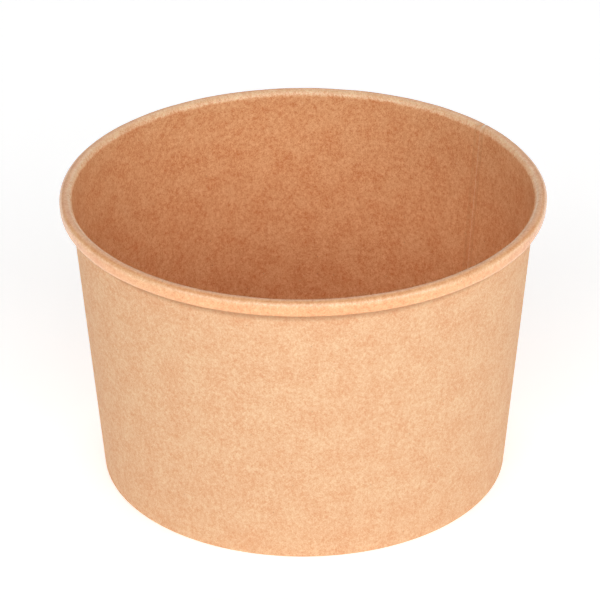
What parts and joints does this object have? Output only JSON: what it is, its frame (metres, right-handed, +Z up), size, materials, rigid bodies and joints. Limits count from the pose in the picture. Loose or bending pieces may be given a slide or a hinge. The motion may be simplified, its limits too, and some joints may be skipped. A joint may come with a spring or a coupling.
{
  "type": "paper salad bowl",
  "caption": "Round kraft paper salad bowl with a slightly flared wall, a rolled rim, a lapped side seam and a recessed bottom held in a folded foot.",
  "frame": {"origin": "centre of the circle that the foot rests on, on the table plane", "axes": "+Z up along the bowl's axis, -Y towards the picture's viewer, side seam 37.4 degrees anticlockwise from +X"},
  "size_m": [0.15, 0.15, 0.094],
  "materials": {
    "kraft_wall": "natural kraft board, matt outside, faint satin film inside and on the rim",
    "kraft_bottom": "natural kraft board, matt below, faint satin film above"
  },
  "bodies": {
    "root": {"side_wall": "kraft_wall", "bottom_disc": "kraft_bottom"}
  },
  "joints": []
}
